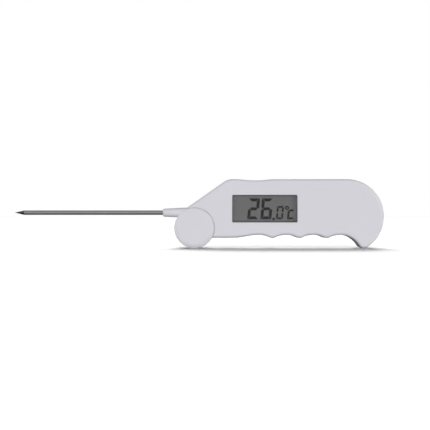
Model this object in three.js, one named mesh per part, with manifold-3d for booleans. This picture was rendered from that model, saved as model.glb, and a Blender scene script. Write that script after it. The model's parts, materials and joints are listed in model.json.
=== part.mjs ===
// Folding probe thermometer: a moulded two-shell grip with a display, a round hub at its front end, and a
// steel needle that folds out of the hub. Millimetres, +Z up, front towards -Y.
//
// Case pieces are drawn with x measured from the fold pivot and z from the ground; hub and probe pieces are
// drawn about the pivot itself, and battery cover pieces about the coin cell's axis.

import * as THREE from 'three';
import { mergeVertices } from 'three/addons/utils/BufferGeometryUtils.js';
import Module from 'manifold-3d';

const wasm = await Module();
wasm.setup();

// Driving dimensions

const PIVOT_Z = 14.75;
const HUB_R = 14.75;
const NEEDLE_REACH = 132.6;
const NEEDLE_R = 1.65;
const PROBE_OFFSET = 11.2;
const FOLD_LIFT = 3;

const FRONT_Y = -9;
const REAR_Y = 9.5;
const HUB_FRONT_Y = -9.5;
const EDGE_FILLET = 3;
const SEAM_GAP = 0.15;
const FRONT_INSIDE_Y = -7;
const REAR_INSIDE_Y = 7.5;

const TOP_Z = 50.4;
const FLOOR_Z = 7.6;
const SLANT = 35.1;
const SHOULDER = { x: 27.8, z: 39.45, r: 11 };
const BUTT_R = 27;
const BUTT_Z = TOP_Z - BUTT_R;
const HOOK_R = 16.5;
const TIP_R = 4;
const CROWN_Z = 9.7;
const CROWN_R = 17.1;
const CUSP_R = 5;
const SCALLOP_TURN = 26.65;
const SCALLOPS = 3;
const LAST_CROWN_X = 106.38;

const WINDOW = { x: 51.3, z: 28.8, wide: 47.5, high: 20 };
const CELL = { x: 105, z: 30, r: 10 };
const LABEL = { x: 53, z: 30, wide: 58, high: 22 };
const CASE_SCREWS = [[12.5, 34], [20.6, 14.6], [84, 45], [84.5, 16.2], [126.5, 31]];
const BOARD_SCREWS = [[20, 37.5], [86.7, 30], [113.5, 42.6]];

// Places that follow from them

const rad = THREE.MathUtils.degToRad;
const deg = THREE.MathUtils.radToDeg;

const HOOK_TURN = deg(Math.asin((TIP_R + HOOK_R - CROWN_Z) / (HOOK_R + TIP_R)));
const TIP_X = LAST_CROWN_X + (HOOK_R + TIP_R) * Math.cos(rad(HOOK_TURN));
const BUTT_X = TIP_X - Math.sqrt((BUTT_R - TIP_R) ** 2 - (BUTT_Z - TIP_R) ** 2);
const BUTT_START = deg(Math.atan2(TIP_R - BUTT_Z, TIP_X - BUTT_X));
const SCALLOP_PITCH = 2 * (CROWN_R + CUSP_R) * Math.sin(rad(SCALLOP_TURN));
const PIVOT_X = (NEEDLE_REACH - BUTT_X - BUTT_R) / 2;
const TRENCH_Z = PIVOT_Z - PROBE_OFFSET + NEEDLE_R + 0.46;
const TRENCH_RISE = Math.tan(rad(FOLD_LIFT));

// Finishes

const finish = (color, roughness, metalness = 0) =>
  new THREE.MeshStandardMaterial({ color, roughness, metalness });

const white = finish(0xe4e4e8, 0.42);
const steel = finish(0xb8b8ba, 0.3, 1);
const screwSteel = finish(0x8f9092, 0.35, 1);
const rubber = finish(0x2b2b2d, 0.8);
const glass = finish(0xcfd3d2, 0.08);
const display = finish(0x767a79, 0.3);
const boardGreen = finish(0x2c5f3f, 0.5);
const resin = finish(0x161617, 0.4);
const brass = finish(0xc0a060, 0.3, 1);
const redWire = finish(0xa03028, 0.6);
const paper = finish(0xd9d9d6, 0.7);

// Solids

const volume = (positions, faces) => {
  const corner = (i) => new THREE.Vector3().fromArray(positions, 3 * faces[i]);
  let total = 0;
  for (let i = 0; i < faces.length; i += 3) {
    total += corner(i).dot(corner(i + 1).cross(corner(i + 2))) / 6;
  }
  return total;
};

const solidOf = (geometry) => {
  geometry.deleteAttribute('normal');
  geometry.deleteAttribute('uv');
  const merged = mergeVertices(geometry, 1e-4);
  const positions = Float32Array.from(merged.attributes.position.array);
  const index = merged.index.array;
  const faces = [];
  for (let i = 0; i < index.length; i += 3) {
    const [a, b, c] = index.slice(i, i + 3);
    if (a !== b && b !== c && c !== a) faces.push(a, b, c);
  }
  if (volume(positions, faces) < 0) faces.reverse();
  const triVerts = Uint32Array.from(faces);
  return new wasm.Manifold(new wasm.Mesh({ numProp: 3, vertProperties: positions, triVerts }));
};

const box = (x0, x1, y0, y1, z0, z1) => {
  const block = new THREE.BoxGeometry(x1 - x0, y1 - y0, z1 - z0);
  return solidOf(block.translate((x0 + x1) / 2, (y0 + y1) / 2, (z0 + z1) / 2));
};

// A disc whose axis lies along Y.
const disc = (r, y0, y1, x = 0, z = 0, sides = 32) =>
  solidOf(new THREE.CylinderGeometry(r, r, y1 - y0, sides).translate(x, (y0 + y1) / 2, z));

const ring = (outer, inner, y0, y1, x = 0, z = 0, sides = 32) =>
  disc(outer, y0, y1, x, z, sides).subtract(disc(inner, y0 - 1, y1 + 1, x, z, sides));

// A profile of [radius, distance along the axis] pairs turned about Y, or about X.
const turnedY = (profile, sides = 40) =>
  solidOf(new THREE.LatheGeometry(profile.map(([r, y]) => new THREE.Vector2(r, y)), sides));

const turnedX = (profile, sides = 20) => {
  const points = profile.map(([r, x]) => new THREE.Vector2(r, x));
  return solidOf(new THREE.LatheGeometry(points, sides).rotateZ(-Math.PI / 2));
};

// An outline in x and z, given a thickness along Y, with its two rims rounded where a fillet is given.
const plate = (points, y0, y1, fillet = 0) => {
  const slab = new THREE.ExtrudeGeometry(new THREE.Shape(points), {
    depth: y1 - y0 - 2 * fillet,
    bevelEnabled: fillet > 0,
    bevelThickness: fillet,
    bevelSize: fillet,
    bevelOffset: -fillet,
    bevelSegments: 3,
  });
  return solidOf(slab.rotateX(Math.PI / 2).translate(0, y1 - fillet, 0));
};

// An outline in x and y, given a length along Z.
const strip = (points, z0, z1) => {
  const shape = new THREE.Shape(points.map(([x, y]) => new THREE.Vector2(x, y)));
  const length = new THREE.ExtrudeGeometry(shape, { depth: z1 - z0, bevelEnabled: false });
  return solidOf(length.translate(0, 0, z0));
};

const lead = (points, r, steps) => {
  const route = new THREE.CatmullRomCurve3(points.map((p) => new THREE.Vector3(...p)));
  const section = new THREE.Shape(arc(0, 0, r, 0, 288, 4));
  return solidOf(new THREE.ExtrudeGeometry(section, { steps, extrudePath: route }));
};

const part = (group, name, material, solid) => {
  const { vertProperties, triVerts } = solid.getMesh();
  const geometry = new THREE.BufferGeometry();
  geometry.setAttribute('position', new THREE.BufferAttribute(vertProperties, 3));
  geometry.setIndex(new THREE.BufferAttribute(triVerts, 1));
  geometry.computeVertexNormals();
  const mesh = new THREE.Mesh(geometry, material);
  mesh.name = name;
  group.add(mesh);
};

// Outlines

const arc = (x, z, r, from, to, steps) =>
  Array.from({ length: steps + 1 }, (_, i) => {
    const turn = rad(from + ((to - from) * i) / steps);
    return new THREE.Vector2(x + r * Math.cos(turn), z + r * Math.sin(turn));
  });

const sweep = (points, steps) =>
  new THREE.CubicBezierCurve(...points.map(([x, z]) => new THREE.Vector2(x, z))).getPoints(steps);

const outline = (...runs) =>
  runs.flat().filter((p, i, all) => p.distanceTo(all[(i + 1) % all.length]) > 0.01);

const grown = (points, distance) =>
  points.map((p, i) => {
    const before = p.clone().sub(points.at(i - 1)).normalize();
    const after = points[(i + 1) % points.length].clone().sub(p).normalize();
    const away = new THREE.Vector2(before.y + after.y, -before.x - after.x);
    return away.multiplyScalar(distance / (1 + before.dot(after))).add(p);
  });

const rounded = (x, z, wide, high, r) =>
  outline(
    arc(x + wide / 2 - r, z - high / 2 + r, r, -90, 0, 3),
    arc(x + wide / 2 - r, z + high / 2 - r, r, 0, 90, 3),
    arc(x - wide / 2 + r, z + high / 2 - r, r, 90, 180, 3),
    arc(x - wide / 2 + r, z - high / 2 + r, r, 180, 270, 3),
  );

const fingerGrip = () => {
  const runs = [];
  for (let left = SCALLOPS; left > 0; left -= 1) {
    const crown = LAST_CROWN_X - left * SCALLOP_PITCH;
    const cuspZ = CROWN_Z - CROWN_R + (CROWN_R + CUSP_R) * Math.cos(rad(SCALLOP_TURN));
    runs.push(arc(crown, CROWN_Z - CROWN_R, CROWN_R, 90, 90 - SCALLOP_TURN, 3));
    runs.push(arc(crown + SCALLOP_PITCH / 2, cuspZ, CUSP_R, -90 - SCALLOP_TURN, SCALLOP_TURN - 90, 4));
    runs.push(arc(crown + SCALLOP_PITCH, CROWN_Z - CROWN_R, CROWN_R, 90 + SCALLOP_TURN, 90, 3));
  }
  return runs.flat();
};

const FIRST_CROWN_X = LAST_CROWN_X - SCALLOPS * SCALLOP_PITCH;
const SLANT_FOOT = { x: -14, z: 23.48 };

// The grip's outline. Its lower left corner runs on past the hub, where the hub's space cuts it away.
const gripOutline = outline(
  sweep([[28.4, FLOOR_Z], [35.9, FLOOR_Z], [39.4, CROWN_Z], [FIRST_CROWN_X, CROWN_Z]], 6),
  fingerGrip(),
  arc(LAST_CROWN_X, CROWN_Z - HOOK_R, HOOK_R, 90, HOOK_TURN, 6),
  arc(TIP_X, TIP_R, TIP_R, HOOK_TURN - 180, BUTT_START, 6),
  arc(BUTT_X, BUTT_Z, BUTT_R, BUTT_START, 90, 14),
  sweep([[60, TOP_Z], [53, TOP_Z], [52, 49.5], [45, 49.5]], 4),
  sweep([[45, 49.5], [38, 49.5], [34.8, TOP_Z + 0.05], [SHOULDER.x, TOP_Z + 0.05]], 4),
  arc(SHOULDER.x, SHOULDER.z, SHOULDER.r, 90, 90 + SLANT, 4),
  [new THREE.Vector2(SLANT_FOOT.x, SLANT_FOOT.z), new THREE.Vector2(-6, FLOOR_Z)],
);

const HUB_WALL_R = 17.25;
const cavityOutline = outline(
  [new THREE.Vector2(131, 14.7)],
  arc(BUTT_X, BUTT_Z, BUTT_R - 2.14, -15, 76.77, 10),
  arc(SHOULDER.x, SHOULDER.z, SHOULDER.r - 2.85, 90, 90 + SLANT, 4),
  arc(0, PIVOT_Z, HUB_WALL_R, 80.85, -10.4, 10),
);

// Housing shells

const HUB_SPACE_R = 15.05;
const EAR_R = 14.4;
const EAR_BORE_R = 7.1;
const EAR_OUTER_Y = 6.1;
const EAR_INNER_Y = 4.1;

const atPivot = (solid) => solid.translate([0, 0, PIVOT_Z]);

const hubSpace = () => {
  const front = disc(HUB_SPACE_R, -20, -EAR_OUTER_Y);
  const middle = disc(HUB_SPACE_R, -EAR_INNER_Y, EAR_INNER_Y);
  const rear = disc(HUB_SPACE_R, EAR_OUTER_Y, 20);
  const armSwing = box(-30, -2.5, -20, 20, -30, PIVOT_Z + 0.45);
  return atPivot(front.add(middle).add(rear).add(armSwing));
};

// The trench under the grip that the folded needle lies in, and the wider cradle for its arm.
const needleTrench = () => {
  const top = (x) => TRENCH_Z + TRENCH_RISE * x;
  const end = arc(0, PIVOT_Z, NEEDLE_REACH + 0.9, -8.5, -0.9, 5);
  const sides = [new THREE.Vector2(HUB_SPACE_R, top(HUB_SPACE_R)), new THREE.Vector2(HUB_SPACE_R, -5)];
  return plate([...end, ...sides], -2.1, 2.1).add(box(8, 24.5, -3.9, 3.9, -5, 8.1));
};

const seamRing = (inner, outer, y) =>
  plate(grown(cavityOutline, outer), -y, y).subtract(plate(grown(cavityOutline, inner), -y - 1, y + 1));

const ear = (side) => {
  const [y0, y1] = [EAR_INNER_Y * side, EAR_OUTER_Y * side].sort((a, b) => a - b);
  return atPivot(disc(EAR_R, y0, y1));
};

const blank = plate(gripOutline, FRONT_Y, REAR_Y, EDGE_FILLET);
const shellBlank = (side) => {
  const [y0, y1] = [SEAM_GAP * side, 20 * side].sort((a, b) => a - b);
  return blank
    .intersect(box(-40, 160, y0, y1, -10, 70))
    .subtract(hubSpace())
    .add(ear(side))
    .subtract(atPivot(disc(EAR_BORE_R, -10, 10)))
    .subtract(needleTrench())
    .subtract(seamRing(0.45, 1.35, 0.85));
};

const joined = (solids) => solids.reduce((whole, solid) => whole.add(solid));

const frontHousing = () => {
  const postsInside = plate(grown(cavityOutline, -0.3), -1, 3).add(box(0, 140, -8, -SEAM_GAP, 5, 49));
  const casePosts = joined(CASE_SCREWS.map(([x, z]) => disc(2.9, -7.2, 2.8, x, z, 16)));
  const boardPosts = joined(BOARD_SCREWS.map(([x, z]) => disc(2.2, -7.2, -1.6, x, z, 12)));
  const casePilots = joined(CASE_SCREWS.map(([x, z]) => disc(1.2, -5, 3, x, z, 12)));
  const boardPilots = joined(BOARD_SCREWS.map(([x, z]) => disc(1, -5.5, -1, x, z, 12)));
  const opening = plate(rounded(WINDOW.x, WINDOW.z, WINDOW.wide, WINDOW.high, 0.8), -10, -6);
  const rebate = plate(rounded(WINDOW.x, WINDOW.z, WINDOW.wide + 3, WINDOW.high + 3, 1), -8.05, -6);
  const leadSlot = box(6, 19, -6.15, -4.6, 3, 5).add(box(5.9, 7.4, -6.15, -4, 3, 5));
  return shellBlank(-1)
    .subtract(plate(cavityOutline, FRONT_INSIDE_Y, 1))
    .add(casePosts.add(boardPosts).intersect(postsInside))
    .subtract(casePilots)
    .subtract(boardPilots)
    .subtract(opening)
    .subtract(rebate)
    .subtract(atPivot(leadSlot));
};

const COVER_RECESS_R = 14.9;
const COVER_OPENING_R = 11.6;
const BAYONETS = [90, 210, 330];
const UNLOCK_TURN = 45;

// A slice of a ring about the Y axis, centred on an angle.
const sector = (outer, inner, angle, half, y0, y1) => {
  const outside = arc(0, 0, outer, angle - half, angle + half, 4);
  const inside = arc(0, 0, inner, angle + half, angle - half, 4);
  return plate([...outside, ...inside], y0, y1);
};

const rearHousing = () => {
  const columns = joined(CASE_SCREWS.map(([x, z]) => disc(3.6, 3, 7.7, x, z, 16)));
  const heads = joined(CASE_SCREWS.map(([x, z]) => disc(2.7, 4.5, 12, x, z, 16)));
  const shanks = joined(CASE_SCREWS.map(([x, z]) => disc(1.3, 2, 5, x, z, 12)));
  const notches = joined(BAYONETS.map((angle) => sector(13, 10, angle, 17, 6, 9)));
  const doorway = disc(COVER_RECESS_R, 8.2, 12)
    .add(disc(COVER_OPENING_R, 6, 9))
    .add(notches)
    .add(ring(14.3, 13.3, 7.4, 8.3));
  const labelSeat = plate(rounded(LABEL.x, LABEL.z, LABEL.wide + 0.6, LABEL.high + 0.6, 2.3), 9.05, 12);
  return shellBlank(1)
    .subtract(plate(cavityOutline, -1, REAR_INSIDE_Y))
    .add(columns)
    .add(disc(16.2, 6.6, 7.7, CELL.x, CELL.z, 40))
    .subtract(heads)
    .subtract(shanks)
    .subtract(doorway.translate([CELL.x, 0, CELL.z]))
    .subtract(labelSeat);
};

// A pan-head screw along Y, its head towards +Y, with a cross recess.
const screw = (headR, headY0, headY1, shankR, shankY) => {
  const depth = headY1 - 0.7;
  const slot = box(-1.2, 1.2, depth, headY1 + 1, -0.25, 0.25);
  const cross = slot.add(box(-0.25, 0.25, depth, headY1 + 1, -1.2, 1.2));
  const rim = 0.35;
  const profile = [
    [0, shankY], [shankR * 0.6, shankY], [shankR, shankY + 0.6], [shankR, headY0], [headR, headY0],
    [headR, headY1 - rim], [headR - rim, headY1], [0, headY1],
  ];
  return turnedY(profile, 12).subtract(cross);
};

const addHousing = (group) => {
  part(group, 'front_housing', white, frontHousing());
  part(group, 'rear_housing', white, rearHousing());
  part(group, 'housing_gasket', rubber, seamRing(0.55, 1.25, 0.75));
  CASE_SCREWS.forEach(([x, z], i) => {
    part(group, `case_screw_${i + 1}`, screwSteel, screw(2.2, 4.6, 6.2, 1.05, -3.5).translate([x, 0, z]));
  });
  part(group, 'rear_label', paper, plate(rounded(LABEL.x, LABEL.z, LABEL.wide, LABEL.high, 2), 9.15, 9.4));
};

// Display stack, front to back

const onWindow = (wide, high, r, y0, y1) => plate(rounded(WINDOW.x, WINDOW.z, wide, high, r), y0, y1);

const addDisplay = (group) => {
  const cornerPost = disc(3.2, -8, 0, CASE_SCREWS[1][0], CASE_SCREWS[1][1], 20);
  const frame = onWindow(57, 30.6, 1, -6.7, -1.8)
    .subtract(onWindow(54.5, 28.1, 0.4, -6.1, 0))
    .subtract(onWindow(50, 23, 0.8, -8, 0))
    .subtract(cornerPost);
  const stripAt = (z) => box(WINDOW.x - 25, WINDOW.x + 25, -4.7, -1.6, z - 1, z + 1);
  part(group, 'display_lens', glass, onWindow(WINDOW.wide + 2.6, WINDOW.high + 2.6, 0.8, -8, -6.8));
  part(group, 'lcd_polariser', display, onWindow(54, 27.6, 0.2, -6, -5.85));
  part(group, 'lcd_front_glass', glass, onWindow(54, 27.6, 0.2, -5.8, -4.8));
  part(group, 'lcd_rear_glass', glass, onWindow(54, 22, 0.2, -4.75, -3.75));
  part(group, 'lcd_reflector', display, onWindow(54, 22, 0.2, -3.7, -3.55));
  part(group, 'lcd_frame', white, frame);
  part(group, 'zebra_strip_upper', rubber, stripAt(WINDOW.z + 12.4));
  part(group, 'zebra_strip_lower', rubber, stripAt(WINDOW.z - 12.4));
};

// Circuit board and what it carries

const BOARD_FRONT_Y = -1.5;
const BOARD_REAR_Y = 0.1;
const ON_BOARD_Y = BOARD_REAR_Y + 0.1;

const addElectronics = (group) => {
  const boardOutline = [[18.2, 15], [118, 15], [118, 45.6], [24.5, 45.6], [18.2, 40.5]];
  const board = plate(boardOutline.map(([x, z]) => new THREE.Vector2(x, z)), BOARD_FRONT_Y, BOARD_REAR_Y)
    .subtract(joined(CASE_SCREWS.map(([x, z]) => disc(3.3, -3, 3, x, z, 16))))
    .subtract(joined(BOARD_SCREWS.map(([x, z]) => disc(1.2, -3, 3, x, z, 12))));
  part(group, 'circuit_board', boardGreen, board);

  const dome = [[0, ON_BOARD_Y], [6, ON_BOARD_Y], [5.5, 0.9], [4, 1.4], [2, 1.6], [0, 1.65]];
  part(group, 'controller_chip', resin, turnedY(dome, 24).translate([45, 0, 28]));

  const crystal = turnedX([[0, -3], [0.9, -3], [1, -2.8], [1, 2.8], [0.9, 3], [0, 3]], 12);
  part(group, 'timing_crystal', steel, crystal.translate([62, ON_BOARD_Y + 1.1, 36]));

  const capacitor = [[0, ON_BOARD_Y], [2, ON_BOARD_Y], [2, 4.2], [1.7, 4.5], [0, 4.5]];
  part(group, 'reservoir_capacitor', resin, turnedY(capacitor, 20).translate([70, 0, 22]));

  const reed = new THREE.CapsuleGeometry(1, 8, 3, 12).rotateX(Math.PI / 2).translate(19.8, -2.65, 26);
  part(group, 'reed_switch', glass, solidOf(reed));

  const switchBody = box(96.5, 103.5, ON_BOARD_Y, 1.75, 28.4, 31.6)
    .subtract(box(98, 102.2, 1, 3, 29.2, 30.8));
  part(group, 'unit_switch_body', resin, switchBody);

  BOARD_SCREWS.forEach(([x, z], i) => {
    part(group, `board_screw_${i + 1}`, screwSteel, screw(1.8, 0.25, 1.4, 0.85, -5).translate([x, 0, z]));
  });

  [-0.45, 0.45].forEach((side, i) => {
    const z = PIVOT_Z + 4 + side;
    const route = [
      [6.65, -4.4, z], [6.8, -5.1, z], [8.4, -5.35, z], [13, -5.35, z], [18, -5.2, z],
      [20.4, -4.2, z + 0.4 * side], [21.4, -1.9, z + 0.8 * side],
    ];
    part(group, `board_lead_${i + 1}`, redWire, lead(route, 0.3, 20));
  });
};

// Battery compartment, drawn about the coin cell's axis

const atCell = (solid) => solid.translate([CELL.x, 0, CELL.z]);

const addBattery = (group) => {
  const cellProfile = [[0, 2.4], [8.4, 2.4], [8.8, 2.7], [CELL.r - 0.3, 2.9], [CELL.r, 3.2], [CELL.r, 5.3],
    [CELL.r - 0.3, 5.6], [0, 5.6]];
  part(group, 'coin_cell', steel, atCell(turnedY(cellProfile, 24)));

  const holder = ring(11.9, 10.6, ON_BOARD_Y, 4.8)
    .subtract(box(-20, 0, 2.2, 9, -4, 4))
    .subtract(box(0, 20, 2.2, 9, -4, 4));
  part(group, 'battery_holder', resin, atCell(holder));

  const positive = sector(10.45, 10.15, 90, 11, ON_BOARD_Y, 5)
    .add(box(-1.9, 1.9, ON_BOARD_Y, 0.5, 6.5, 10.3));
  part(group, 'battery_contact_positive', brass, atCell(positive));

  const leaf = [[7, 0.2], [7, 0.5], [0.8, 0.5], [5.4, 2], [5.3, 2.25], [0, 0.6], [0, 0.2]];
  part(group, 'battery_contact_negative', brass, atCell(strip(leaf, -2, 2)));

  part(group, 'battery_cover_seal', rubber, atCell(ring(14.2, 13.4, 7.5, 8.2)));
};

const batteryCover = () => {
  const tabs = joined(BAYONETS.map((angle) => sector(12.7, 11, angle + UNLOCK_TURN, 14, 5.3, 6.4)));
  const coinSlot = box(-6.5, 6.5, 8.05, 12, -1, 1);
  return turnedY([[0, 8.35], [14.6, 8.35], [14.6, 9.05], [14.3, 9.35], [0, 9.35]], 48)
    .add(disc(11.3, 6.9, 8.5, 0, 0, 48))
    .add(ring(11.3, 10.5, 5.25, 7, 0, 0, 48))
    .add(tabs)
    .subtract(coinSlot);
};

// Hub and probe, drawn about the pivot

const CORE_Y = 3.85;
const CORE_R = 14.6;
const JOURNAL_R = 6.9;
const HEX_R = 4.3;
const CAP_INNER_Y = 6.35;
const CAP_FILLET = 2.2;
const HUB_REAR_Y = 9.2;

const roundedRim = (y, side) => {
  const quarter = arc(HUB_R - CAP_FILLET, 0, CAP_FILLET, 0, 90, 3);
  return quarter.map(({ x, y: rise }) => [x, side * (y - CAP_FILLET + rise)]);
};

const hubCap = (side, outerY) => {
  const profile = [
    [0, side * (EAR_INNER_Y - 0.1)], [JOURNAL_R, side * (EAR_INNER_Y - 0.1)],
    [JOURNAL_R, side * CAP_INNER_Y], [HUB_R, side * CAP_INNER_Y],
    ...roundedRim(outerY, side), [0, side * outerY],
  ];
  const [y0, y1] = [0.2 * side, (EAR_INNER_Y + 1) * side].sort((a, b) => a - b);
  return turnedY(profile, 40).add(disc(HEX_R, y0, y1, 0, 0, 6));
};

const rearCap = () =>
  hubCap(1, HUB_REAR_Y)
    .subtract(ring(12, 8, 6, 7.15))
    .subtract(disc(2.7, 7.45, 12, 0, 0, 20))
    .subtract(disc(1.4, -1, 8, 0, 0, 12));

const frontCap = () => hubCap(-1, -HUB_FRONT_Y).subtract(disc(1.35, -5.5, 0, 0, 0, 12));

const MAGNET_R = 12.3;
const MAGNET_ANGLE = THREE.MathUtils.degToRad(35);
const MAGNET = new THREE.Vector2(MAGNET_R, 0).rotateAround(new THREE.Vector2(), MAGNET_ANGLE);
const ARM_ROOT = 0;
const ARM_MOUTH = -23.4;
const TUBE_START = -8.2;
const CONE_START = 6.8 - NEEDLE_REACH;

const probeArm = () => {
  const sleeve = turnedX([
    [0, ARM_ROOT], [3.3, ARM_ROOT], [3.75, -5.8], [2.98, -21.5], [2.88, -22.5], [2.5, -23.15],
    [1.95, ARM_MOUTH], [0, ARM_MOUTH],
  ], 24);
  const tubeBore = turnedX([[0, TUBE_START + 0.2], [NEEDLE_R + 0.15, TUBE_START + 0.2],
    [NEEDLE_R + 0.15, ARM_MOUTH - 1], [0, ARM_MOUTH - 1]]);
  const leadBore = turnedX([[0, -9], [1.2, -9], [1.2, -3.2], [0, -3.2]], 12);
  const down = new THREE.CylinderGeometry(1.2, 1.2, PROBE_OFFSET - 5.5, 12).rotateX(Math.PI / 2);
  const leadDrop = solidOf(down.translate(-4, 0, (PROBE_OFFSET + 5.5) / 2));
  const onNeedle = (solid) => solid.translate([0, 0, PROBE_OFFSET]);
  return disc(CORE_R, -CORE_Y, CORE_Y, 0, 0, 40)
    .add(onNeedle(sleeve))
    .subtract(onNeedle(tubeBore))
    .subtract(onNeedle(leadBore))
    .subtract(leadDrop)
    .subtract(ring(8.2, 5.2, -5, 1.3))
    .subtract(disc(HEX_R + 0.2, -5, 5, 0, 0, 6))
    .subtract(ring(10.25, 8.75, -5, 1.3 - CORE_Y))
    .subtract(ring(10.25, 8.75, CORE_Y - 1.3, 5))
    .subtract(disc(1.6, -5, -1.1, MAGNET.x, MAGNET.y, 16));
};

const seal = (y) => {
  const ring = new THREE.TorusGeometry(9.5, 0.65, 6, 24).rotateX(Math.PI / 2);
  return solidOf(ring.translate(0, y, 0));
};

// Each lead runs up the needle, down into the hub, and once round the pivot to take up the fold.
const probeLead = (side) => {
  const y = 0.45 * side;
  const coilY = side < 0 ? -2.1 : -0.7;
  const coil = [150, 180, 215, 250, 285, 320, 350].map((angle, i) => {
    const [p] = arc(0, 0, 6.7, angle, angle + 1, 1);
    return [p.x, THREE.MathUtils.lerp(y, coilY, Math.min(1, i / 3)), p.y];
  });
  const route = [
    [-121.6, y, PROBE_OFFSET], [-80, y, PROBE_OFFSET], [-40, y, PROBE_OFFSET], [-9, y, PROBE_OFFSET],
    [-5.4, y, PROBE_OFFSET - 0.05], [-4.15, y, PROBE_OFFSET - 1.2], [-4, y, 7.6], ...coil,
  ];
  return lead(route, 0.3, 50);
};

const addProbe = (group) => {
  part(group, 'probe_arm', white, probeArm());
  part(group, 'hub_front_cap', white, frontCap());
  part(group, 'hub_rear_cap', white, rearCap());
  part(group, 'hub_screw', screwSteel, screw(2.4, 7.6, 8.9, 1.2, -4));
  part(group, 'hub_seal_front', rubber, seal(-3.3));
  part(group, 'hub_seal_rear', rubber, seal(3.3));
  part(group, 'friction_washer', steel, ring(11.7, 8.3, 6.25, 6.85));
  part(group, 'wake_magnet', steel, disc(1.4, -3.7, -1.3, MAGNET.x, MAGNET.y, 16));

  const needle = (profile, sides) => turnedX(profile, sides).translate([0, 0, PROBE_OFFSET]);
  const bore = 1.25;
  const tubeEnd = CONE_START + 0.3;
  part(group, 'probe_tube', steel, needle([[bore, TUBE_START], [NEEDLE_R, TUBE_START], [NEEDLE_R, tubeEnd],
    [bore, tubeEnd], [bore, TUBE_START]], 20));
  part(group, 'probe_tip', steel, needle([[0, CONE_START + 1.8], [1.1, CONE_START + 1.8], [1.1, CONE_START],
    [NEEDLE_R, CONE_START], [0.12, 0.1 - NEEDLE_REACH], [0, -NEEDLE_REACH]], 20));
  const bead = new THREE.SphereGeometry(0.8, 10, 8).translate(-122.6, 0, PROBE_OFFSET);
  part(group, 'thermistor', resin, solidOf(bead));
  [-1, 1].forEach((side, i) => part(group, `probe_lead_${i + 1}`, redWire, probeLead(side)));
};

// Assembly

const thermometer = new THREE.Group();
const assembly = new THREE.Group();
assembly.position.x = PIVOT_X;
thermometer.add(assembly);

const housing = new THREE.Group();
assembly.add(housing);
addHousing(housing);
addDisplay(housing);
addElectronics(housing);
addBattery(housing);

const cover = new THREE.Group();
cover.position.set(CELL.x, 0, CELL.z);
assembly.add(cover);
part(cover, 'battery_cover', white, batteryCover());

const slider = new THREE.Group();
assembly.add(slider);
part(slider, 'unit_switch_slider', white, box(98.2, 100, 1.15, 2.2, 29.5, 30.5));

const probe = new THREE.Group();
probe.position.z = PIVOT_Z;
assembly.add(probe);
addProbe(probe);

export default thermometer;
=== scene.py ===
"""Folding probe thermometer: its finished surfaces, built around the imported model."""

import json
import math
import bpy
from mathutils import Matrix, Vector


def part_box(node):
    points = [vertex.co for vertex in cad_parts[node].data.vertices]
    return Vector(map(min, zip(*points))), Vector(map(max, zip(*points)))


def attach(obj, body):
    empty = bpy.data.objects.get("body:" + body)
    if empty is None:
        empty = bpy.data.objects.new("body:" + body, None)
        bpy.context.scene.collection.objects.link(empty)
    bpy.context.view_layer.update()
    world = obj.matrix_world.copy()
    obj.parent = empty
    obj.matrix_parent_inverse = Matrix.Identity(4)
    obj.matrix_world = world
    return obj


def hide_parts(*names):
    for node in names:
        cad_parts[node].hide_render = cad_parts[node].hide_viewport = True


bl_info = {
    "name": "Folding probe thermometer",
    "version": (1, 0, 0),
    "blender": (4, 5, 0),
    "location": "View3D > Sidebar > Thermometer",
    "description": "Builds the visible pieces of a folding probe thermometer around its packed model",
    "category": "Object",
}

from types import SimpleNamespace

import bmesh
import bpy
from bpy.props import FloatProperty, FloatVectorProperty, PointerProperty
from mathutils import Vector

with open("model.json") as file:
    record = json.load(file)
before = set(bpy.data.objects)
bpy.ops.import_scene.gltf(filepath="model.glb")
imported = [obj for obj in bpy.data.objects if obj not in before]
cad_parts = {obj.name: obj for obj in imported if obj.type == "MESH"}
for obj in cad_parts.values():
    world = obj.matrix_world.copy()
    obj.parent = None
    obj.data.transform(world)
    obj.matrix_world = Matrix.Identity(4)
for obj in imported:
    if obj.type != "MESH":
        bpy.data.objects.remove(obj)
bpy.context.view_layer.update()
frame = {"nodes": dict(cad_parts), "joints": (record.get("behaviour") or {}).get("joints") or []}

MM = 0.001
JOINTS = {joint["name"]: joint for joint in frame["joints"]}
PIVOT = Vector(JOINTS["probe_fold"]["pos_m"]) / MM
CELL = Vector(JOINTS["battery_cover_turn"]["pos_m"]) / MM
PIVOT_Z = PIVOT.z


def span(node):
    """A CAD node's lowest and highest corners in millimetres, with u measured from the pivot."""
    low, high = (Vector(corner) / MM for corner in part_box(node))
    return low - Vector((PIVOT.x, 0, 0)), high - Vector((PIVOT.x, 0, 0))


def middle(node):
    low, high = span(node)
    return (low + high) / 2


CELL_U = CELL.x - PIVOT.x
CELL_Z = CELL.z
CASE_LOW = span("front_housing")[0]
REAR_HIGH = span("rear_housing")[1]
LENS_LOW, LENS_HIGH = span("display_lens")
LABEL_LOW, LABEL_HIGH = span("rear_label")
WINDOW = middle("display_lens")
LABEL = middle("rear_label")
SCREWS = [middle(f"case_screw_{i}") for i in range(1, 6)]
BOARD_SCREWS = [middle(f"board_screw_{i}") for i in range(1, 4)]
NEEDLE_LOW, NEEDLE_HIGH = span("probe_tube")
TIP_LOW = span("probe_tip")[0]
NEEDLE_Z = middle("probe_tube").z


# What a user would change


def length(name, description, value):
    return FloatProperty(name=name, description=description, default=value * MM, unit="LENGTH", precision=5)


def colour(name, description, value):
    return FloatVectorProperty(
        name=name, description=description, default=value, subtype="COLOR", min=0, max=1
    )


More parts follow.
